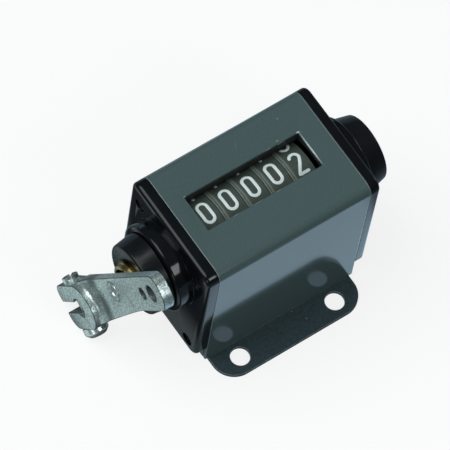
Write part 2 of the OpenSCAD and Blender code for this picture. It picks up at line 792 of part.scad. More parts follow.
// Small coil springs beside the pawls, and the return spring in the collar
pawl_wire_r = 0.15;
pawl_coil_r = pin_r + pawl_wire_r + 0.1;
pawl_coil_start = 20;
pawl_coil_leg = 2.4;
module drive_pawl_spring()
    color(steel) turned_at(pawl_pivot_r, pawl_pivot_angle)
        translate([0, 0, yoke_right_x + yoke_t + pawl_wire_r])
            wire(coil(pawl_coil_r, 0.34, 2, pawl_coil_start, pawl_coil_leg), pawl_wire_r, 6);

module holding_pawl_spring()
    color(steel) turned_at(holding_pivot_r, holding_pivot_angle)
        translate([0, 0, pawl_x + pawl_t + pawl_wire_r + 0.1])
            wire(coil(pawl_coil_r, 0.5, 4, pawl_coil_start, pawl_coil_leg), pawl_wire_r, 6);

return_wire_r = 0.5;
return_coil_r = 6.4;
return_turns = 4;
return_clear = 0.15;
module return_spring() {
    floor_x = -end_x - spring_room_floor;
    room = floor_x - (boss_x + boss_skirt) - 2 * (return_wire_r + return_clear);
    color(steel) on_axis(floor_x - return_clear - return_wire_r) mirror([0, 0, 1])
        wire(coil(return_coil_r, room / return_turns, return_turns, 0, 3 * return_wire_r),
            return_wire_r, 8);
}

// Side of the lever that widens to the hub, as a smooth curve from the arm
flare_start = 14;
flare_end = hub_off + hub_r - 0.7;
function flare(x) = arm_w / 2
    + (flare_end - arm_w / 2) * pow((flare_start - x) / (flare_start + hub_dist), 1.15);

module lever_outline() {
    translate([end_dist, 0]) circle(arm_w / 2);
    translate([end_dist + arm_w / 2 - end_corner, end_corner - arm_w / 2]) circle(end_corner);
    translate([end_dist, end_corner - arm_w / 2])
        square([arm_w / 2, arm_w / 2 - end_corner]);
    translate([end_dist, -arm_w / 2]) square([arm_w / 2 - end_corner, end_corner]);
    polygon(concat([[end_dist, -arm_w / 2], [end_dist, arm_w / 2], [flare_start, arm_w / 2]],
        [for (i = [1 : 12]) let (x = flare_start - (flare_start + hub_dist) * i / 12)
            [x, flare(x)]],
        [[-hub_dist, arm_taper - arm_w / 2]]));
}

// A jaw from local y n1 to n2, with a round corner of its own at each side of its end
module jaw(n1, n2, r1, r2) {
    len = jaw_dist - hub_dist;
    translate([r1 - jaw_dist, n1]) square([len - r1, r1]);
    translate([-jaw_dist, n1 + r1]) square([len, n2 - n1 - r1 - r2]);
    translate([r2 - jaw_dist, n2 - r2]) square([len - r2, r2]);
    translate([r1 - jaw_dist, n1 + r1]) circle(r1);
    translate([r2 - jaw_dist, n2 - r2]) circle(r2);
}

jaw_h = hub_r - slot_w / 2;
upper_jaw_r = 0.53 * jaw_h;
lower_jaw_r = 0.82 * jaw_h;
slot_edge_r = 0.14 * jaw_h;
module hub_outline() {
    translate([-hub_dist, hub_off]) circle(hub_r);
    jaw(hub_off - hub_r, hub_off - slot_w / 2, upper_jaw_r, slot_edge_r);
    jaw(hub_off + slot_w / 2, hub_off + hub_r, slot_edge_r, lower_jaw_r);
    translate([-bore_dist, hub_off - slot_w]) square([bore_dist - hub_dist, 2 * slot_w]);
}

// Hollow curve where the arm's face runs into the round of the hub
fillet_w = 4;
fillet_h = 1.8;
module hub_fillet()
    translate([-hub_dist, hub_off, 0]) rotate_extrude()
        polygon(concat([[0, 0]], [for (t = [0 : 11.25 : 90])
            [hub_r + fillet_w * (1 - sin(t)), fillet_h * (1 - cos(t))]], [[0, fillet_h]]));

// Local z of the lever runs outwards from its inner face
module lever_place()
    on_axis(lever_x, 90 + lever_lean) mirror([0, 0, 1]) children();

module arm_place()
    translate([0, arm_drop, 0]) children();

module tilted()
    rotate([0, 0, -arm_tilt]) children();

module clamp_axis()
    arm_place() translate([-clamp_dist, hub_off, clamp_depth]) rotate([90, 0, 0]) children();

module lever()
    color(zinc) lever_place() difference() {
        arm_place() difference() {
            union() {
                linear_extrude(arm_t) tilted() lever_outline();
                linear_extrude(hub_t) hub_outline();
                translate([0, 0, arm_t]) intersection() {
                    hub_fillet();
                    linear_extrude(fillet_h) tilted() lever_outline();
                }
            }
            translate([0, 0, -1]) {
                tilted() translate([link_dist, 0]) cylinder(d = link_d, h = arm_t + 2);
                tilted() translate([link_dist - link_step, 0])
                    cylinder(d = small_link_d, h = arm_t + 2);
                translate([-bore_dist, hub_off]) cylinder(r = bore_r, h = hub_t + 2);
                translate([-jaw_dist - 1, hub_off - slot_w / 2])
                    cube([jaw_dist + 1 - bore_dist, slot_w, hub_t + 2]);
            }
        }
        // Seat of the shaft's flats, and the countersink of the rivet
        intersection() {
            translate([0, 0, -1]) cylinder(r = drive_r + run_fit, h = 1 + flat_len + 0.1);
            cube([drive_d + 1, flat_w + 2 * run_fit, 4 * flat_len], center = true);
        }
        translate([0, 0, -1]) cylinder(r = rivet_shank_r + run_fit, h = arm_t + 2);
        translate([0, 0, arm_t - rivet_head_h])
            cylinder(r1 = rivet_shank_r + run_fit, r2 = rivet_head_r + run_fit,
                h = rivet_head_h + eps);
        clamp_axis() cylinder(r = clamp_r + 0.15, h = 4 * hub_r, center = true);
    }

// Rivet pressed into the drive shaft, its head dished and set into the lever
rivet_dish = 0.9;
module lever_rivet()
    color(steel) lever_place() rotate_extrude()
        polygon([[0, -rivet_depth], [rivet_shank_r, -rivet_depth],
            [rivet_shank_r, arm_t - rivet_head_h], [rivet_head_r, arm_t],
            [rivet_head_r - 0.2, arm_t], [0.5, arm_t - rivet_dish], [0, arm_t - rivet_dish]]);

module clamp_screw()
    color(steel) lever_place() clamp_axis() difference() {
        union() {
            translate([0, 0, -hub_r - clamp_nut_h + 0.3])
                cylinder(r = clamp_r, h = 2 * hub_r + clamp_nut_h - 0.3 + eps);
            translate([0, 0, hub_r]) cylinder(r = clamp_head_r, h = clamp_head_h);
        }
        translate([0, 0, hub_r + clamp_head_h]) rotate([0, 0, 30])
            cube([3 * clamp_head_r, clamp_slot_w, clamp_head_h], center = true);
    }

nut_chamfer = 1.2;
module clamp_nut()
    color(zinc) lever_place() clamp_axis() rotate_extrude() difference() {
        polygon([[0, -hub_r], [clamp_nut_r, -hub_r],
            [clamp_nut_r, -hub_r - clamp_nut_h + nut_chamfer],
            [clamp_nut_r - nut_chamfer, -hub_r - clamp_nut_h], [0, -hub_r - clamp_nut_h]]);
        translate([0, -4 * hub_r]) square([clamp_r, 4 * hub_r]);
    }

cover();
window_frame();
foot_plate();
foot_rivets();
left_frame_plate();
right_frame_plate();
stay_rods();
carrier_rod();
left_end_cap();
right_end_cap();
cap_screws();
drive_bearing();
reset_bearing();
wheel_shaft();
reset_knob();
knob_screw();
units_wheel();
tens_wheel();
hundreds_wheel();
thousands_wheel();
ten_thousands_wheel();
ratchet_wheel();
carrier_plate_1();
carrier_plate_2();
carrier_plate_3();
carrier_plate_4();
carry_pinion_1();
carry_pinion_2();
carry_pinion_3();
carry_pinion_4();
drive_shaft();
drive_boss();
boss_bush();
drive_yoke();
drive_pawl();
drive_pawl_pin();
drive_pawl_spring();
holding_pawl();
holding_pawl_pin();
holding_pawl_spring();
return_spring();
lever();
lever_rivet();
clamp_screw();
clamp_nut();
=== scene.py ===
# %% [markdown]
# A five-figure stroke counter in Blender
# The counter is a small machine part: a glossy sheet-metal box on a punched foot, two black
# end caps with turned collars, five number wheels under a window, a cast clamp lever on the
# left and a reset knob on the right. Its sizes come from a imported CAD model, so nothing here
# is measured again: every new piece takes its place from the box of the CAD node it belongs
# to. This notebook gives each surface its finish and adds what a CAD solid lacks, such as
# softened edges, figures, a screw thread, specks, and painted highlights and shade.

# %% Load the imported model
import json
import math

import bmesh
import bpy
from mathutils import Matrix, Vector


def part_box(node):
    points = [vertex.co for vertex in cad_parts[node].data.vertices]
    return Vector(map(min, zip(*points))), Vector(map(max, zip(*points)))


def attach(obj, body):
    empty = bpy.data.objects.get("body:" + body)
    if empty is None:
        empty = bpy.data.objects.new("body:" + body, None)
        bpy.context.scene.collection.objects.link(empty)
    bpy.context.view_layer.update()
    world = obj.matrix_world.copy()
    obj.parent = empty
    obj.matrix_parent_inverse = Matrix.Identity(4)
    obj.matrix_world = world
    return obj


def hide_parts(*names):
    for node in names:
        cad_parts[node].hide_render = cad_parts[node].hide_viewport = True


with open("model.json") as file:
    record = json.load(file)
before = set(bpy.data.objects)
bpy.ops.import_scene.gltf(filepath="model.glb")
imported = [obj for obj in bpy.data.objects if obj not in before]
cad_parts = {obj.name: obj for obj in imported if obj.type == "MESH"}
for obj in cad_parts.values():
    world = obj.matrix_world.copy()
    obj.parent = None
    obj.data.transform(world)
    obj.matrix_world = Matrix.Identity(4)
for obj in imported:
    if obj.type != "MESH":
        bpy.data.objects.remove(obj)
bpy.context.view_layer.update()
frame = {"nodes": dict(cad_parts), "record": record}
nodes = frame["nodes"]
mm = 0.001

# %% [markdown]
# The camera
# A photograph of an object with straight edges can be solved for its camera: where the edges'
# vanishing points lie gives the lens, and known sizes give the distance. The counter was taken
# with a very long lens from above its left front corner, so its parallel edges stay almost
# parallel. The small second angle says that the camera was held slightly out of level.

# %% Place the camera
view_data = bpy.data.cameras.new("product_view")
view_data.lens = 379.2
view_data.sensor_width = 36.0
view_data.clip_start = 0.05
view_data.clip_end = 20.0
product_view = bpy.data.objects.new("product_view", view_data)
product_view.location = (-0.39556, -0.39991, 1.12304)
product_view.rotation_euler = [math.radians(a) for a in (26.6546, -4.9301, -34.3276)]
bpy.context.scene.collection.objects.link(product_view)
bpy.context.scene.camera = product_view
bpy.context.scene.view_settings.view_transform = "Standard"
print("camera is", round(product_view.location.length, 2), "m from the counter")

# %% [markdown]
# Making pieces
# Two small helpers keep the rest short. One turns a bmesh into an object that rides on a body
# of the mechanism, so that it moves with the right joint. The other makes a copy of a CAD
# solid with its razor edges rounded. Real sheet, plastic and castings never end in a perfect
# edge: a fillet of a tenth of a millimetre is what catches the light along every rim. The
# fillets could be cut in the CAD as well, but a Bevel modifier finds all the edges by itself.

# %% Look up the body and the material slot of a node
bodies = frame["record"]["behaviour"]["bodies"]
slots = {row["node"]: row["material_slot"] for row in frame["record"]["subparts"]}


def body_of(node):
    return next(body for body, members in bodies.items() if node in members)


print("bodies:", len(bodies), "slots in use:", sorted(set(slots.values())))


# %% Helper that turns a bmesh into a piece
sharp_angle = 35


def piece_from(bm, name, body, look, smooth=sharp_angle):
    mesh = bpy.data.meshes.new(name)
    bm.to_mesh(mesh)
    bm.free()
    mesh.materials.append(look)
    mesh.shade_smooth()
    mesh.set_sharp_from_angle(angle=math.radians(smooth))
    piece = bpy.data.objects.new(name, mesh)
    bpy.context.scene.collection.objects.link(piece)
    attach(piece, body)
    return piece


print("faces that meet at less than", sharp_angle, "degrees are shaded as one")

# %% Helper that copies a CAD solid and rounds its edges
crease, nearly_flat = 38, 0.4
weld = 0.002 * mm


def softened(node, name, look, radius, steps=2, edge=None, clamp=True):
    bm = bmesh.new()
    bm.from_mesh(nodes[node].data)
    bmesh.ops.remove_doubles(bm, verts=bm.verts, dist=weld)
    bmesh.ops.dissolve_limit(bm, angle_limit=math.radians(nearly_flat), verts=bm.verts,
                             edges=bm.edges, delimit={"NORMAL"})
    piece = piece_from(bm, name, body_of(node), look, smooth=crease)
    rounding = piece.modifiers.new("rounding", "BEVEL")
    rounding.width = radius * mm
    rounding.segments = steps
    rounding.limit_method = "ANGLE"
    rounding.angle_limit = math.radians(crease)
    rounding.harden_normals = True
    rounding.miter_outer = "MITER_ARC"
    rounding.use_clamp_overlap = clamp
    if edge:
        piece.data.materials.append(edge)
        rounding.material = 1
    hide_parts(node)
    return piece


print("edges that turn more than", crease, "degrees are rounded")

# %% [markdown]
# Nodes in few words
# A material is a graph of nodes, and a graph written out one socket at a time is long and hard
# to read. One helper adds a node, sets its options and fills its inputs, each with a number, a
# colour or the output of another node. Four more name what is used most: a sum of numbers, a
# sum of vectors, a mix of two colours and the place of a point on the object. That place comes
# from Object coordinates, so a pattern stays on its piece when a joint moves it.

# %% Helper that adds a node and fills its inputs
def add_node(tree, kind, inputs=(), **options):
    node = tree.nodes.new("ShaderNode" + kind)
    for option, value in options.items():
        setattr(node, option, value)
    for label, value in inputs.items() if isinstance(inputs, dict) else enumerate(inputs):
        if isinstance(value, bpy.types.NodeSocket):
            tree.links.new(value, node.inputs[label])
        else:
            node.inputs[label].default_value = value
    return node


print("kinds of shader node:", sum(kind.startswith("ShaderNode") for kind in dir(bpy.types)))


# %% Helpers for sums and mixes
def maths(tree, operation, *inputs):
    return add_node(tree, "Math", inputs, operation=operation).outputs["Value"]


def vectors(tree, operation, *inputs):
    node = add_node(tree, "VectorMath", inputs, operation=operation)
    return node.outputs["Value" if operation in ("LENGTH", "DOT_PRODUCT") else "Vector"]


def mixed(tree, factor, first, second):
    inputs = {"Factor": factor, "A": first, "B": second}
    return add_node(tree, "Mix", inputs, data_type="RGBA").outputs["Result"]


def object_place(tree):
    return add_node(tree, "TexCoord").outputs["Object"]


print("node helpers:", [f.__name__ for f in (add_node, maths, vectors, mixed, object_place)])

# %% [markdown]
# Shader groups
# Four effects come back in several finishes. Mottle is a soft cloud of lighter and darker
# tone, for paint, castings and worn steel. Rub is one spot or scratch with a place and a size,
# for handling marks. Ring is a band of shade round an axis, for the dirt in a turned groove or
# beside a hole. Grain is a fine bump for cast and moulded skins. Each is built once as a node
# group and used with its own values, so a mend in the group mends every finish.

# %% Helper that starts a group
def new_group(name, inputs, outputs):
    group = bpy.data.node_groups.new(name, "ShaderNodeTree")
    for label, kind, value in inputs:
        socket = group.interface.new_socket(name=label, in_out="INPUT",
                                            socket_type="NodeSocket" + kind)
        socket.default_value = value
    for label, kind in outputs:
        group.interface.new_socket(name=label, in_out="OUTPUT", socket_type="NodeSocket" + kind)
    given = group.nodes.new("NodeGroupInput").outputs
    result = group.nodes.new("NodeGroupOutput").inputs
    return group, given, result


print("groups before the first is built:", len(bpy.data.node_groups))


# %% Group for mottled tone
def build_mottle():
    group, given, result = new_group(
        "mottle", [("Dark", "Color", (0, 0, 0, 1)), ("Light", "Color", (1, 1, 1, 1)),
                   ("Scale", "Float", 300.0), ("Detail", "Float", 4.0)],
        [("Color", "Color"), ("Mask", "Float")])
    noise = add_node(group, "TexNoise", {"Vector": object_place(group), "Scale": given["Scale"],
                                         "Detail": given["Detail"]})
    cloud = add_node(group, "MapRange", {"Value": noise.outputs["Fac"], "From Min": 0.35,
                                         "From Max": 0.65}).outputs["Result"]
    group.links.new(mixed(group, cloud, given["Dark"], given["Light"]), result["Color"])
    group.links.new(cloud, result["Mask"])
    return group


mottle = build_mottle()
print("nodes in the mottle:", len(mottle.nodes))


# %% Group for one rubbed mark
def build_rub():
    group, given, result = new_group(
        "rub", [("Centre", "Vector", (0, 0, 0)), ("Size", "Vector", (1, 1, 1)),
                ("Turn", "Float", 0.0), ("Strength", "Float", 1.0)], [("Mask", "Float")])
    away = vectors(group, "SUBTRACT", object_place(group), given["Centre"])
    turned = add_node(group, "VectorRotate", {"Vector": away, "Angle": given["Turn"]},
                      rotation_type="Z_AXIS").outputs["Vector"]
    reach = vectors(group, "LENGTH", vectors(group, "DIVIDE", turned, given["Size"]))
    soft_edge = add_node(group, "MapRange", {"Value": reach, "From Min": 1.0, "From Max": 0.2},
                         interpolation_type="SMOOTHSTEP").outputs["Result"]
    group.links.new(maths(group, "MULTIPLY", soft_edge, given["Strength"]), result["Mask"])
    return group


rub = build_rub()
print("nodes in the rub:", len(rub.nodes))


# %% Group for a ring of shade round an axis along X
def build_ring():
    group, given, result = new_group(
        "ring", [("Centre", "Vector", (0, 0, 0)), ("Inner", "Float", 0.001),
                 ("Outer", "Float", 0.002), ("Soft", "Float", 0.0002),
                 ("Side", "Vector", (0, 0, 0)), ("Bias", "Float", 1.0),
                 ("Strength", "Float", 1.0)], [("Mask", "Float")])
    offset = vectors(group, "SUBTRACT", object_place(group), given["Centre"])
    away = vectors(group, "MULTIPLY", offset, (0, 1, 1))
    radius = vectors(group, "LENGTH", away)
    past_inner = maths(group, "SUBTRACT", radius, given["Inner"])
    short_of_outer = maths(group, "SUBTRACT", given["Outer"], radius)
    band = maths(group, "MINIMUM", maths(group, "DIVIDE", past_inner, given["Soft"]),
                 maths(group, "DIVIDE", short_of_outer, given["Soft"]))
    one_side = maths(group, "ADD", vectors(group, "DOT_PRODUCT", away, given["Side"]),
                     given["Bias"])
    limited = add_node(group, "Math", (band, one_side), operation="MINIMUM", use_clamp=True)
    group.links.new(maths(group, "MULTIPLY", limited.outputs["Value"], given["Strength"]),
                    result["Mask"])
    return group


ring = build_ring()
print("nodes in the ring:", len(ring.nodes))


# %% Group for fine surface grain
def build_grain():
    group, given, result = new_group(
        "grain", [("Scale", "Float", 2000.0), ("Depth", "Float", 0.2)], [("Normal", "Vector")])
    noise = add_node(group, "TexNoise", {"Vector": object_place(group), "Scale": given["Scale"],
                                         "Detail": 3.0})
    bump = add_node(group, "Bump", {"Height": noise.outputs["Fac"], "Strength": given["Depth"],
                                    "Distance": 0.05 * mm})
    group.links.new(bump.outputs["Normal"], result["Normal"])
    return group


grain = build_grain()
print("nodes in the grain:", len(grain.nodes))

# %% [markdown]
# Finishes
# The finishes could be built one by one in the shader editor, but they differ only in their
# numbers, so one function makes them all: a Principled shader with a mottled colour between
# two close tones, a grain bump, and a roughness that follows the mottle, a little duller in
# the dark spots. Marks are laid on top one after the other, each mixed to its own shade.
# Places and sizes of marks are in millimetres, and colours are linear values, as Blender
# takes them.

# %% Helpers that describe one mark
def mark(centre, size, shade, strength=1.0, turn=0):
    values = {"Centre": [v * mm for v in centre], "Size": [v * mm for v in size],
              "Turn": math.radians(turn), "Strength": strength}
    return rub, shade, values


def shade_ring(centre, inner, outer, soft, shade, strength, side=(0, 0, 0), bias=1.0):
    values = {"Centre": [v * mm for v in centre], "Inner": inner * mm, "Outer": outer * mm,
              "Soft": soft * mm, "Side": [v / mm for v in side], "Bias": bias,
              "Strength": strength}
    return ring, shade, values


print("a mark holds:", sorted(mark((0, 0, 0), (1, 1, 1), (0, 0, 0))[2]))

# %% Helper that makes a finish
duller, smoother = 1.2, 0.85


def finish(name, dark, light, rough, metal=0.0, specular=0.5, tone_scale=250.0, detail=4.0,
           grain_scale=2500.0, grain_depth=0.08, marks=()):
    material = bpy.data.materials.new(name)
    material.use_nodes = True
    tree = material.node_tree
    shader = tree.nodes["Principled BSDF"].inputs
    shader["Metallic"].default_value = metal
    shader["Specular IOR Level"].default_value = specular
    tone = add_node(tree, "Group", {"Dark": (*dark, 1), "Light": (*light, 1),
                                    "Scale": tone_scale, "Detail": detail}, node_tree=mottle)
    polish = add_node(tree, "MapRange", {"Value": tone.outputs["Mask"],
                                         "To Min": rough * duller, "To Max": rough * smoother})
    skin = add_node(tree, "Group", {"Scale": grain_scale, "Depth": grain_depth},
                    node_tree=grain)
    colour = tone.outputs["Color"]
    for group, shade, values in marks:
        mask = add_node(tree, "Group", values, node_tree=group).outputs["Mask"]
        colour = mixed(tree, mask, colour, (*shade, 1))
    tree.links.new(colour, shader["Base Color"])
    tree.links.new(polish.outputs["Result"], shader["Roughness"])
    tree.links.new(skin.outputs["Normal"], shader["Normal"])
    return material


print("a finish takes marks from the groups:", [group.name for group in (rub, ring)])

# %% [markdown]
# The cover
# The cover is one folded sheet in glossy grey enamel, so smooth that it mirrors the table. Pale
# lines are painted along the two cut edges and round the edge of the window: painted highlights
# where those edges catch the light. A few specks and one scratch lie on the top. An image could
# hold all that, but marks with a place and a size stay sharp at any distance. A mark along a
# whole edge is simply made much longer than the part.

# %% Painted highlights along the edges of the cover
cover_low, cover_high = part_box("cover")
cover_left, cover_front = cover_low.x / mm, cover_low.y / mm
cover_right, cover_top = cover_high.x / mm, cover_high.z / mm
whole_edge = 90
pale_mark = (0.28, 0.34, 0.34)
# pale lines painted on the cut edges: painted highlights where the edges catch the light
edge_highlights = [
    mark((cover_left, 0, 30), (0.28, whole_edge, whole_edge), (0.24, 0.3, 0.3), 0.7),
    mark((cover_right, 0, 30), (0.4, whole_edge, whole_edge), pale_mark, 0.8),
    mark((cover_right, cover_front, 24), (0.45, 1.2, 27), (0.8, 0.9, 0.9)),
]
print("cover from", round(cover_left, 2), "to", round(cover_right, 2), "mm")

# %% Specks and scratches on the cover
specks = [
    mark((0.95, 11.8, cover_top), (0.28, 1.7, 1.0), (0.13, 0.17, 0.17), 0.5, turn=28),
    mark((10.8, 7.2, cover_top), (0.6, 0.25, 1.0), pale_mark, 0.9),
    mark((14.5, 12.5, cover_top), (0.4, 0.3, 1.0), pale_mark, 0.6),
    mark((19.4, -17.5, 39.2), (0.3, 1.0, 0.3), (0.01, 0.012, 0.014), 0.9),
]
print("specks:", len(specks))

# %% Painted highlights round the edge of the window
# pale lines and glints painted round the window's edge: painted highlights
window_highlights = [
    mark((16.9, 0.9, cover_top), (0.4, 6.4, 0.9), (0.55, 0.62, 0.62)),
    mark((16.7, 6.4, cover_top), (0.7, 0.4, 0.6), (0.6, 0.68, 0.68)),
    mark((-18.5, 6.4, cover_top), (0.5, 0.3, 0.6), (0.45, 0.52, 0.52), 0.9),
    mark((7.5, 6.42, cover_top), (1.6, 0.22, 0.6), (0.3, 0.36, 0.36), 0.6),
    mark((3.0, -4.68, cover_top), (1.2, 0.25, 0.6), (0.4, 0.47, 0.47), 0.8),
    mark((-3.4, -4.68, cover_top), (2.2, 0.22, 0.6), (0.36, 0.42, 0.42), 0.7),
    mark((-10.2, -4.68, cover_top), (1.5, 0.25, 0.6), (0.36, 0.42, 0.42), 0.8),
]
print("rubbed places round the window:", len(window_highlights))

# %% Paint the cover
grey_enamel = finish("grey_enamel", (0.064, 0.101, 0.101), (0.077, 0.117, 0.117), 0.1,
                     tone_scale=2400.0, grain_depth=0.01, marks=specks + edge_highlights + window_highlights)
cover = softened("cover", "painted_cover", grey_enamel, 0.16, steps=3)
print("faces of the cover before rounding:", len(cover.data.polygons))

# %% [markdown]
# The foot
# The foot is punched from thicker sheet and dipped in black lacquer, which is duller than the
# enamel. Its bevel gets a paler finish of its own, a painted highlight along the cut edge: the
# Bevel modifier can give the faces that it makes a second material.

# %% Lacquer the foot
foot_low, foot_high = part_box("foot_plate")
foot_top = foot_high.z / mm
foot_marks = [
    mark((3.7, -18.1, foot_top), (0.3, 0.18, 0.4), pale_mark, 0.9, turn=30),
    mark((5.9, -21.9, foot_top), (0.25, 0.25, 0.4), pale_mark, 0.9),
    mark((-3.5, -18.4, foot_top), (0.5, 0.12, 0.4), pale_mark, 0.5, turn=20),
]
black_lacquer = finish("black_lacquer", (0.038, 0.06, 0.068), (0.05, 0.076, 0.086), 0.22,
                       tone_scale=1400.0, grain_depth=0.03, marks=foot_marks)
# paler finish for the foot's bevel: a painted highlight along its edge
foot_edge_highlight = finish("foot_edge_highlight", (0.1, 0.13, 0.13), (0.24, 0.29, 0.29), 0.3, tone_scale=700.0)
softened("foot_plate", "punched_foot", black_lacquer, 0.16, edge=foot_edge_highlight)
print("top of the foot at", round(foot_top, 2), "mm")

# %% [markdown]
# The seam between cover and foot
# Paint runs together in the corner where the cover stands on the foot and dries as a thin
# round bead, which catches the light as one fine line. A cylinder of a quarter millimetre,
# half sunk into both sheets, is enough.

# %% Bead of paint along the seam
bead_radius, bead_lift = 0.13 * mm, 0.02 * mm
bead_length = foot_high.x - foot_low.x - 2 * mm
along_x = Matrix.Rotation(math.radians(90), 4, "Y")
for name, y in (("front_bead", cover_low.y), ("rear_bead", cover_high.y)):
    bm = bmesh.new()
    corner = Matrix.Translation((0, y, foot_high.z + bead_lift))
    bmesh.ops.create_cone(bm, cap_ends=True, segments=12, radius1=bead_radius,
                          radius2=bead_radius, depth=bead_length, matrix=corner @ along_x)
    piece_from(bm, name, body_of("cover"), black_lacquer)
print("beads of", 2 * bead_radius / mm, "mm lie on the foot")

# %% [markdown]
# Caps, boss and knob
# The end caps are pressed from black phenolic, with a skin as glossy as glass. The drive boss
# and the reset knob are turned from the same stuff, and the tool leaves them duller. One
# finish with a mask could cover both, but no piece has both skins, so two finishes of one
# colour are simpler. The caps get the larger radius of a mould.

# %% Caps, boss and knob in black phenolic
phenolic = finish("black_phenolic", (0.003, 0.004, 0.005), (0.005, 0.0065, 0.008), 0.1,
                  specular=0.28, grain_depth=0.01)
dull_phenolic = finish("dull_phenolic", (0.005, 0.006, 0.007), (0.008, 0.0095, 0.011), 0.24,
                       specular=0.2, grain_depth=0.03)
softened("left_end_cap", "left_cap", phenolic, 0.34, steps=4)
softened("right_end_cap", "right_cap", phenolic, 0.4, steps=4)
softened("drive_boss", "tapered_boss", dull_phenolic, 0.12)
softened("reset_knob", "turned_knob", dull_phenolic, 0.15)
print("phenolic finishes:", phenolic.name, dull_phenolic.name)

# %% [markdown]
# Small parts in steel
# The cap screws are blackened, the knob's screw and the foot's rivets are left bright, and the
# shield behind the window is matt black so that it doesn't shine beside the figures. All are
# copies of their CAD solids, because a bevel of a tenth of a millimetre or less is all that
# they lack.

# %% Screws, rivets and shield
matt_black = finish("matt_black", (0.008, 0.009, 0.01), (0.014, 0.015, 0.016), 0.6)
bright_steel = finish("bright_steel", (0.42, 0.44, 0.44), (0.58, 0.6, 0.6), 0.28, metal=1.0)
dull_steel = finish("dull_steel", (0.26, 0.27, 0.27), (0.38, 0.39, 0.39), 0.45, metal=1.0)
black_screw = finish("blackened_steel", (0.012, 0.013, 0.014), (0.03, 0.032, 0.034), 0.35,
                     metal=0.6)
softened("window_frame", "window_shield", matt_black, 0.08)
softened("foot_rivets", "foot_rivet_heads", bright_steel, 0.06)
softened("knob_screw", "knob_centre_screw", bright_steel, 0.08)
softened("cap_screws", "cap_screw_heads", black_screw, 0.1)
print("small steel:", [look.name for look in (matt_black, bright_steel, dull_steel, black_screw)])

# %% [markdown]
# The axis of the lever
# Bush, rivet and lever turn about one axis, and their wear lies round it. The axis runs through
# the middle of the bush, and the flat of the lever's arm lies three millimetres inside the hub's
# end. At rest the arm leans 31 degrees from upright. Two directions, along the arm and across
# it, then give any place on the lever.

# %% Find the axis and the directions of the lever
bush_low, bush_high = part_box("boss_bush")
hub_step = 3.0 * mm
pivot = Vector((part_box("lever")[0].x + hub_step, (bush_low.y + bush_high.y) / 2,
                (bush_low.z + bush_high.z) / 2))
lever_lean = math.radians(31)
along = Vector((0, -math.sin(lever_lean), math.cos(lever_lean)))
across = Vector((0, -math.cos(lever_lean), -math.sin(lever_lean)))
pivot_mm = pivot / mm


def on_lever(length, width):
    return pivot_mm + along * length + across * width


print("axis of the lever in mm:", [round(v, 2) for v in pivot_mm])

# %% [markdown]
# The brass bush
# A grooved brass bush fills the gap between boss and lever. Brass stays bright on the ridges
# and turns brown in the grooves, where no hand polishes it. That could be painted on an image,
# but the grooves are round, so two rings of dark shade, which depend only on the distance from
# the axis, follow them exactly.

# %% Bush in turned brass
tarnish = [shade_ring(pivot_mm, 5.45, 9.0, 0.25, (0.03, 0.026, 0.014), 0.9),
           shade_ring(pivot_mm, 3.9, 4.5, 0.15, (0.06, 0.05, 0.02), 0.8)]
turned_brass = finish("turned_brass", (0.42, 0.33, 0.12), (0.7, 0.58, 0.26), 0.25, metal=1.0,
                      marks=tarnish)
softened("boss_bush", "grooved_bush", turned_brass, 0.1)
print("rings of tarnish:", len(tarnish))

# %% [markdown]
# The lever
# The lever is a zinc die-casting, tumbled until its skin is a fine speckle of pale and dark
# grey. Shade is painted where the hub meets the arm, round the rivet and in the link holes,
# highlights are painted on the lit side of the holes' rims, and the end of the arm is painted
# darker to damp the highlight on it. The casting's edges are rounder than those of the sheets,
# and a darker finish of their own paints a thin line of shade along them.

# %% Painted shade and highlights on the casting
dark_zinc, deep_hole_shade, zinc_highlight = (0.09, 0.115, 0.115), (0.02, 0.026, 0.026), (0.9, 0.97, 0.95)
hub_centre, large_hole, small_hole = on_lever(-22, 3.9), on_lever(27.6, 0), on_lever(21.2, 0.15)
arm_end = on_lever(33.0, 0) + Vector((1.7, 0, 0))
zinc_marks = [
    # painted highlights on the lit side of the two link holes' rims
    mark(on_lever(26.2, 1.4), (0.9, 1.3, 1.3), zinc_highlight),
    mark(on_lever(20.2, 1.0), (0.7, 0.9, 0.9), zinc_highlight),
    # a faint darker patch on the arm
    mark(on_lever(9.0, 2.6), (1.2, 3.4, 1.6), dark_zinc, 0.4),
    # the end of the arm painted darker, to damp the highlight on it
    mark(arm_end, (1.75, 7, 7), (0.26, 0.32, 0.315), 0.6),
    # painted shade in the hollow where hub meets arm, round the rivet and round the link holes
    shade_ring(hub_centre, 6.7, 14.0, 3.0, dark_zinc, 0.8, side=along * 0.5, bias=-1.0),
    shade_ring(pivot_mm, 2.55, 3.2, 0.25, dark_zinc, 0.8),
    shade_ring(large_hole, 2.2, 2.75, 0.2, dark_zinc, 0.7),
    shade_ring(small_hole, 1.55, 2.05, 0.2, dark_zinc, 0.7),
    # painted shade deep inside the link holes
    shade_ring(large_hole, 1.6, 2.3, 0.1, deep_hole_shade, 0.95),
    shade_ring(small_hole, 1.2, 1.65, 0.1, deep_hole_shade, 0.95),
]
print("marks on the casting:", len(zinc_marks))

# %% Lever, rivet, clamp nut and clamp screw
cast_zinc = finish("cast_zinc", (0.29, 0.36, 0.35), (0.75, 0.86, 0.83), 0.36, metal=0.85,
                   tone_scale=2200.0, detail=2.0, grain_scale=2600.0, grain_depth=0.9,
                   marks=zinc_marks)
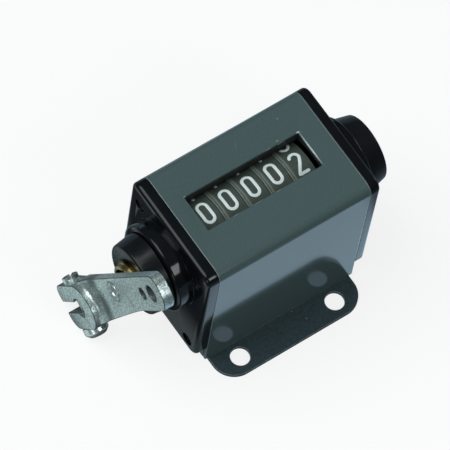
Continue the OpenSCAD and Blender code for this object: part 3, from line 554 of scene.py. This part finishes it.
# darker finish for the lever's bevel: a painted line of shade along its edges
zinc_edge_shade = finish("zinc_edge_shade", (0.07, 0.09, 0.09), (0.16, 0.2, 0.195), 0.3, metal=0.9,
                   tone_scale=1800.0, grain_scale=1800.0, grain_depth=0.3)
rolled_zinc = finish("rolled_zinc", (0.62, 0.7, 0.68), (0.85, 0.93, 0.91), 0.25, metal=0.9,
                     tone_scale=1800.0, grain_scale=1800.0, grain_depth=0.3)
softened("lever", "cast_lever", cast_zinc, 0.2, steps=3, edge=zinc_edge_shade, clamp=False)
softened("lever_rivet", "dished_rivet", cast_zinc, 0.06)
softened("clamp_nut", "round_clamp_nut", rolled_zinc, 0.3, steps=3)
softened("clamp_screw", "cheese_head_screw", rolled_zinc, 0.1)
print("zinc finishes:", [look.name for look in (cast_zinc, zinc_edge_shade, rolled_zinc)])

# %% [markdown]
# The rim of the rivet
# The lever is fixed by a rivet whose hollow end was rolled over, so it carries a raised round
# rim with a dish inside. The section of the rim is a closed chain of a few vertices, each with
# its radius and its height over the arm, and the spin operator turns it once round the axis.

# %% Roll the rim of the rivet
rim_section = [(2.6, -0.2), (2.55, 0.08), (2.4, 0.22), (2.2, 0.26), (1.98, 0.16), (1.8, -0.15),
               (1.75, -0.5)]
bm = bmesh.new()
rim_points = [bm.verts.new(pivot + Vector((-height * mm, 0, radius * mm)))
              for radius, height in rim_section]
rim_lines = [bm.edges.new(pair) for pair in zip(rim_points, rim_points[1:] + rim_points[:1])]
bmesh.ops.spin(bm, geom=rim_points + rim_lines, cent=pivot, axis=(1, 0, 0),
               angle=2 * math.pi, steps=48, use_merge=True)
bmesh.ops.recalc_face_normals(bm, faces=bm.faces)
rivet_rim = piece_from(bm, "rivet_rim", body_of("lever_rivet"), cast_zinc,
                       smooth=60)
print("rim faces:", len(rivet_rim.data.polygons))

# %% [markdown]
# The thread of the clamp screw
# Between the jaws the screw's thread is bare. A thread is a small triangle that turns round
# the axis while it climbs, which is exactly what the spin operator does when it is given a
# step along the axis as well. Each corner of the triangle is given by its part of the pitch
# and its height over the shank. The two ends are closed, so that the thread is a solid too.

# %% Cut the thread
screw_low, screw_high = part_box("clamp_screw")
shank_radius, pitch = 1.24 * mm, 0.45 * mm
turns, steps = 10, 20
thread_shift = 1.2 * mm
start = (screw_low + screw_high) / 2 - across * (turns * pitch / 2 + thread_shift)
triangle = [(0.04, -0.1), (0.5, 0.13), (0.96, -0.1)]
bm = bmesh.new()
corners = [bm.verts.new(start + Vector((shank_radius + height * mm, 0, 0)) + across * pitch * part)
           for part, height in triangle]
edges = [bm.edges.new(pair) for pair in zip(corners, corners[1:] + corners[:1])]
bmesh.ops.spin(bm, geom=corners + edges, cent=start, axis=across, angle=2 * math.pi * turns,
               dvec=across * pitch / steps, steps=steps * turns, use_merge=False)
bmesh.ops.holes_fill(bm, edges=bm.edges, sides=3)
bmesh.ops.recalc_face_normals(bm, faces=bm.faces)
thread = piece_from(bm, "clamp_thread", body_of("clamp_screw"), bright_steel,
                    smooth=50)
print("thread faces:", len(thread.data.polygons))

# %% [markdown]
# The number wheels
# Each wheel is a dark moulded drum with a paler band painted along its left rim, a painted
# highlight where that edge catches the light beside the carrier plate. The band could be a piece
# of its own, but it is only a change of colour, so a long mark in the finish does it. All five
# drums share that finish, and the place of each band comes from the box of its wheel. The units
# wheel has the ratchet's boss on its right, so a drum is measured on another wheel.

# %% Sizes of a wheel
wheel_names = ["units", "tens", "hundreds", "thousands", "ten_thousands"]
wheel_low, wheel_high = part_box("tens_wheel")
wheel_radius = (wheel_high.z - wheel_low.z) / 2
drum_wide = wheel_high.x - wheel_low.x
axis_y, axis_z = (wheel_high.y + wheel_low.y) / 2, (wheel_high.z + wheel_low.z) / 2
print("wheel radius in mm:", round(wheel_radius / mm, 2))

# %% Wheel bodies
# a pale band painted on each wheel's left rim: a painted highlight
rim_highlights = [mark((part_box(name + "_wheel")[0].x / mm, 0, axis_z / mm),
                  (0.9, whole_edge, whole_edge), (0.15, 0.175, 0.15)) for name in wheel_names]
wheel_grey = finish("wheel_grey", (0.038, 0.052, 0.042), (0.052, 0.07, 0.056), 0.5,
                    tone_scale=700.0, grain_depth=0.15, marks=rim_highlights)
for name in wheel_names:
    softened(name + "_wheel", name + "_drum", wheel_grey, 0.04)
print("drums:", len(wheel_names), "each", round(drum_wide / mm, 2), "mm wide")

# %% [markdown]
# The figures
# Ten pale figures stand round the rim of each wheel. They are drawn as an engraver's
# pantograph would cut them: a line of constant width with round ends. So each stroke is a path
# of a few points and arcs, and no font is needed.

# %% Helper for an arc of points
def bow(cx, cy, rx, ry, first, last, steps=14):
    angles = [math.radians(first + (last - first) * i / steps) for i in range(steps + 1)]
    return [(cx + rx * math.cos(a), cy + ry * math.sin(a)) for a in angles]


print("points in half a circle:", len(bow(0, 0, 1, 1, 0, 180)))

# %% Strokes of the figures, from half the width and half the height in millimetres
w, h = 1.33, 3.05
oval = bow(0, h - w, w, w, 0, 180) + bow(0, w - h, w, w, 180, 360)
six = (bow(0.1, h - 1.5, 1.25, 1.5, 35, 100, 6) + [(-w * 0.86, 0.6)]
       + bow(0, -h + 1.5, w, 1.5, 165, 165 + 350, 22))
figures = {
    0: [(oval, True)],
    1: [([(-1.05, h - 0.9), (-0.2, h), (-0.2, 0.28 - h)], False)],
    2: [(bow(0, h - w, w, w, 160, -32) + [(0.55, -0.1), (-0.5, -1.7), (-w, -h), (w, -h)], False)],
    3: [(bow(-0.05, h - 1.35, 1.2, 1.35, 150, -80) + bow(-0.05, -h + 1.6, w, 1.65, 80, -150),
         False)],
    4: [([(0.35, h), (-w, -1.2), (w, -1.2)], False), ([(0.6, 0.3), (0.6, -h)], False)],
    5: [([(w * 0.85, h), (-w * 0.8, h), (-w * 0.9, 0.3)]
         + bow(-0.05, -h + 1.7, w, 1.7, 125, -145), False)],
    6: [(six, False)],
    7: [([(-w, h), (w, h), (-0.4, -h)], False)],
    8: [(bow(0, h - 1.35, 1.15, 1.35, -90, 270, 26), True),
        (bow(0, -h + 1.65, w, 1.65, 90, 450, 26), True)],
    9: [([(-x, -y) for x, y in six], False)],
}
print("strokes per figure:", {n: len(s) for n, s in figures.items()})

# %% [markdown]
# From path to paint
# A curve with a round bevel turns each path into a tube, and a sphere closes each open end. The
# tube is pressed flat and bent round the wheel afterwards, so its points have to lie close
# together: a long straight stroke with only two points would cut through the drum.

# %% Helper that puts points close together along a path
def fine_path(points, closed, reach=0.35):
    path = []
    for a, b in zip(points, points[1:] + (points[:1] if closed else [])):
        count = max(1, math.ceil(math.dist(a, b) / reach))
        path += [(a[0] + (b[0] - a[0]) * i / count, a[1] + (b[1] - a[1]) * i / count)
                 for i in range(count) if math.dist(a, b) > 0.001]
    return path if closed else path + [points[-1]]


print("points of the oval:", len(oval), "and close together:", len(fine_path(oval, True)))

# %% Helper that draws one stroke as a tube
stroke_radius = 0.43


def stroke_mesh(points, closed):
    points = fine_path(points, closed)
    line = bpy.data.curves.new("stroke", "CURVE")
    line.dimensions = "3D"
    line.bevel_depth = stroke_radius
    line.bevel_resolution = 2
    line.use_fill_caps = True
    path = line.splines.new("POLY")
    path.points.add(len(points) - 1)
    for point, (x, y) in zip(path.points, points):
        point.co = (x, y, 0, 1)
    path.use_cyclic_u = closed
    holder = bpy.data.objects.new("stroke", line)
    mesh = bpy.data.meshes.new_from_object(holder)
    bpy.data.objects.remove(holder)
    bpy.data.curves.remove(line)
    return mesh


sample = stroke_mesh(oval, True)
print("vertices of the oval's tube:", len(sample.vertices))
bpy.data.meshes.remove(sample)


# %% Helper that draws one whole figure
def flat_figure(figure):
    drawn = bmesh.new()
    for points, closed in figures[figure]:
        mesh = stroke_mesh(points, closed)
        drawn.from_mesh(mesh)
        bpy.data.meshes.remove(mesh)
        if closed:
            continue
        for x, y in (points[0], points[-1]):
            bmesh.ops.create_uvsphere(drawn, u_segments=12, v_segments=8, radius=stroke_radius,
                                      matrix=Matrix.Translation((x, y, 0)))
    return drawn


sample = flat_figure(4)
print("faces of a four:", len(sample.faces))
sample.free()

# %% [markdown]
# Figures on the wheels
# The figures are filled with white paint, which stands a few hundredths of a millimetre proud.
# A step from figure to figure is a tenth of a turn. In the photograph the wheels don't all
# stand at the same angle, so each gets the figure that it shows and the angle at which that
# figure stands.

# %% Helper that wraps ten figures round one wheel
figure_white = finish("figure_white", (0.68, 0.76, 0.74), (0.78, 0.86, 0.84), 0.45,
                      grain_depth=0.03)
paint_height = 0.035
figure_step = 360 / len(figures)


def wheel_figures(name, shown, lean):
    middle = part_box(name + "_wheel")[0].x + drum_wide / 2
    bm = bmesh.new()
    for figure in figures:
        drawn = flat_figure(figure)
        start = math.radians(lean + figure_step * (shown - figure))
        for v in drawn.verts:
            angle = start - v.co.y * mm / wheel_radius
            out = wheel_radius + v.co.z * paint_height * mm / stroke_radius
            v.co = (middle + v.co.x * mm, axis_y + out * math.cos(angle),
                    axis_z + out * math.sin(angle))
        part = bpy.data.meshes.new("part")
        drawn.to_mesh(part)
        drawn.free()
        bm.from_mesh(part)
        bpy.data.meshes.remove(part)
    bmesh.ops.recalc_face_normals(bm, faces=bm.faces)
    return piece_from(bm, name + "_figures", name, figure_white, smooth=60)


print("from figure to figure:", figure_step, "degrees")

# %% Figures on the five wheels
painted = [wheel_figures(name, shown, lean) for name, shown, lean in
           (("units", 2, 87.7), ("tens", 0, 83.8), ("hundreds", 0, 83.3),
            ("thousands", 0, 83.8), ("ten_thousands", 0, 84.4))]
print("figure faces per wheel:", [len(p.data.polygons) for p in painted])

# %% [markdown]
# Inner parts
# The pieces inside the case keep their CAD meshes. They are seen only through gaps, so a
# finish is all that they need: steel for shafts, pawls and springs, nylon for the pinions, and
# duller tones for the carrier plates between the wheels and the frame plates under the caps.

# %% Finishes for the CAD nodes that stay
natural_nylon = finish("natural_nylon", (0.6, 0.58, 0.5), (0.72, 0.7, 0.62), 0.4)
plate_grey = finish("plate_grey", (0.12, 0.155, 0.135), (0.17, 0.21, 0.185), 0.5,
                    tone_scale=900.0)
slot_looks = {"steel": bright_steel, "brass": turned_brass, "natural_plastic": natural_nylon,
              "die_cast": cast_zinc, "wheel_plastic": wheel_grey, "black_matt": matt_black,
              "black_plastic": phenolic, "dark_screw": black_screw, "paint": grey_enamel,
              "black_steel": black_lacquer}
own_looks = {"carrier_plate_" + str(number): plate_grey for number in range(1, 5)}
own_looks.update({side + "_frame_plate": dull_steel for side in ("left", "right")})
for node, obj in nodes.items():
    obj.data.materials.clear()
    obj.data.materials.append(own_looks.get(node, slot_looks[slots[node]]))
print("nodes with a finish:", len(nodes))

# %% [markdown]
# Studio
# The counter was photographed on a white sheet in a dim room, so the sheet is one large plane
# that isn't part of the object. A plain white plane would look right to the camera, but the
# glossy cover mirrors it too, and in the photograph it mirrors only the near part as bright,
# and the room beyond as dark. A material can tell the two apart: Light Path says whether a ray
# comes from the camera or from a glossy surface. The camera gets white paper everywhere, and
# the mirrored rays get a brightness that depends on the place on the sheet.

# %% White sheet under the counter
bm = bmesh.new()
bmesh.ops.create_grid(bm, x_segments=2, y_segments=2, size=3.0)
sheet_mesh = bpy.data.meshes.new("white_sheet")
bm.to_mesh(sheet_mesh)
bm.free()
white_sheet = bpy.data.objects.new("white_sheet", sheet_mesh)
bpy.context.scene.collection.objects.link(white_sheet)
print("sheet in m:", [round(v, 1) for v in white_sheet.dimensions])

# %% Places on the sheet and how tones fade between them
paper = bpy.data.materials.new("white_paper")
paper.use_nodes = True
sheet_mesh.materials.append(paper)
tree = paper.node_tree
place = add_node(tree, "SeparateXYZ", (object_place(tree),)).outputs


def fade(value, first, last, low, high):
    inputs = {"Value": value, "From Min": first * mm, "From Max": last * mm, "To Min": low,
              "To Max": high}
    node = add_node(tree, "MapRange", inputs, interpolation_type="SMOOTHSTEP")
    return node.outputs["Result"]


print("outputs of the place:", [output.name for output in place])

# %% Painted glow on the paper in front of the cover and left of it, seen only in reflections
front_glow = maths(tree, "MAXIMUM", fade(place["X"], -28.5, -23.5, 0.0, 1.04),
                   fade(place["X"], -36.5, -31.5, 0.0, 0.24))
left_glow = maths(tree, "MINIMUM", fade(place["X"], -45.5, -51.0, 0.0, 0.6),
                  fade(place["X"], -85.0, -65.0, 0.1, 0.6))
# the painted front glow is weaker far to the right and far in front
glow_falloff = maths(tree, "MULTIPLY", fade(place["X"], 38.0, 46.0, 1.0, 0.3),
                  fade(place["Y"], -75.0, -45.0, 0.3, 1.0))
print("nodes of the paper with the glow:", len(tree.nodes))

# %% [markdown]
# The shade round the foot
# Close to the foot the sheet lies in shade, and through the foot's holes it shows only as dim
# discs. So the mirrored glow falls away in a shape a little larger than the foot, with round
# corners too. The distance from such a shape is a classic: measure from the centre of the
# corner, and let neither part of the distance go below zero.

# %% Shade with round corners
shade_middle, corner_x, corner_y = -1.7 * mm, 19.5 * mm, -22.5 * mm
sideways = maths(tree, "ABSOLUTE", maths(tree, "SUBTRACT", place["X"], shade_middle))
past_x = maths(tree, "SUBTRACT", maths(tree, "MAXIMUM", sideways, corner_x), corner_x)
past_y = maths(tree, "SUBTRACT", corner_y, maths(tree, "MINIMUM", place["Y"], corner_y))
squares = maths(tree, "ADD", maths(tree, "POWER", past_x, 2.0), maths(tree, "POWER", past_y, 2.0))
open_paper = fade(maths(tree, "POWER", squares, 0.5), 5.2, 5.6, 0.0, 1.08)
through_holes = fade(place["Y"], -26.4, -25.4, 0.05, 0.26)
past_foot = maths(tree, "MAXIMUM", open_paper, through_holes)
print("nodes of the paper with the shade:", len(tree.nodes))

# %% White paper for the camera, shaped glow for the mirrored rays
rays = add_node(tree, "LightPath").outputs
mirrored = maths(tree, "MAXIMUM", rays["Is Glossy Ray"], rays["Is Transmission Ray"])
glow = maths(tree, "MULTIPLY_ADD", front_glow, maths(tree, "MULTIPLY", glow_falloff, past_foot),
             left_glow)
seen_strength = 0.82
bright = maths(tree, "MULTIPLY_ADD", rays["Is Camera Ray"], seen_strength,
               maths(tree, "MULTIPLY", mirrored, glow))
white, paper_grey, mirrored_grey = (1, 1, 1, 1), (0.18, 0.18, 0.18, 1), (0.07, 0.08, 0.09, 1)
pale_glow, blue_glow = (0.8, 0.96, 0.98, 1), (0.58, 0.82, 1.0, 1)
tint = mixed(tree, front_glow, pale_glow, blue_glow)
paper_shader = tree.nodes["Principled BSDF"].inputs
paper_shader["Roughness"].default_value = 0.9
paper_shader["Specular IOR Level"].default_value = 0.0
tree.links.new(mixed(tree, mirrored, paper_grey, mirrored_grey), paper_shader["Base Color"])
tree.links.new(mixed(tree, mirrored, white, tint), paper_shader["Emission Color"])
tree.links.new(bright, paper_shader["Emission Strength"])
print("paper is ready with", len(tree.nodes), "nodes")

# %% [markdown]
# Light
# The room is dim, and a little brighter overhead, which the black caps mirror as a soft sheen.
# A wide window from the upper left gives the plain light. Weak lamps on the left and in front
# fill the lever and the boss, one panel on the right draws the knob's edge, and a small softbox
# close in front makes the square highlights on collar and cap. Lamps could be placed by their
# coordinates, but a direction and a distance from the counter's middle are easier to judge, so
# a helper works out the rest.

# %% World, dim and a little brighter overhead
dim_wall, pale_ceiling = (0.07, 0.08, 0.09, 1), (0.14, 0.15, 0.155, 1)
world = bpy.data.worlds.new("dim_studio")
bpy.context.scene.world = world
world.use_nodes = True
sky = world.node_tree
direction = add_node(sky, "TexCoord").outputs["Generated"]
height = add_node(sky, "SeparateXYZ", (direction,)).outputs["Z"]
ramp = add_node(sky, "ValToRGB", {"Fac": height})
for element, position, colour in zip(ramp.color_ramp.elements, (0.1, 0.75),
                                     (dim_wall, pale_ceiling)):
    element.position = position
    element.color = colour
sky.links.new(ramp.outputs["Color"], sky.nodes["Background"].inputs["Color"])
print("world:", world.name)

# %% Lamps, each with a direction, a distance, a width, a height and a power
aim = Vector((0, 0, 30 * mm))
cool_white = (0.93, 0.985, 1.0)


def lamp(name, towards, distance, wide, high, power):
    data = bpy.data.lights.new(name, "AREA")
    data.shape = "RECTANGLE"
    data.size, data.size_y = wide, high
    data.energy = power
    data.color = cool_white
    obj = bpy.data.objects.new(name, data)
    away = Vector(towards).normalized()
    obj.location = away * distance + aim
    obj.rotation_euler = (-away).to_track_quat("-Z", "Y").to_euler()
    bpy.context.scene.collection.objects.link(obj)


lamp("left_window", (-0.42, 0.3, 0.85), 1.3, 1.1, 1.1, 13.0)
lamp("left_bank", (-0.77, 0.32, 0.5), 1.3, 0.6, 0.6, 0.4)
lamp("front_fill", (-0.8, -0.55, 0.25), 1.3, 0.5, 0.5, 1.8)
lamp("softbox", (0.05, -0.36, 0.33), 0.488, 0.12, 0.18, 0.47)
lamp("right_panel", (0.93, 0.05, 0.3), 1.3, 0.5, 0.5, 1.5)

# %% [markdown]
# End of the scene: the lamps above are the last thing that it adds.
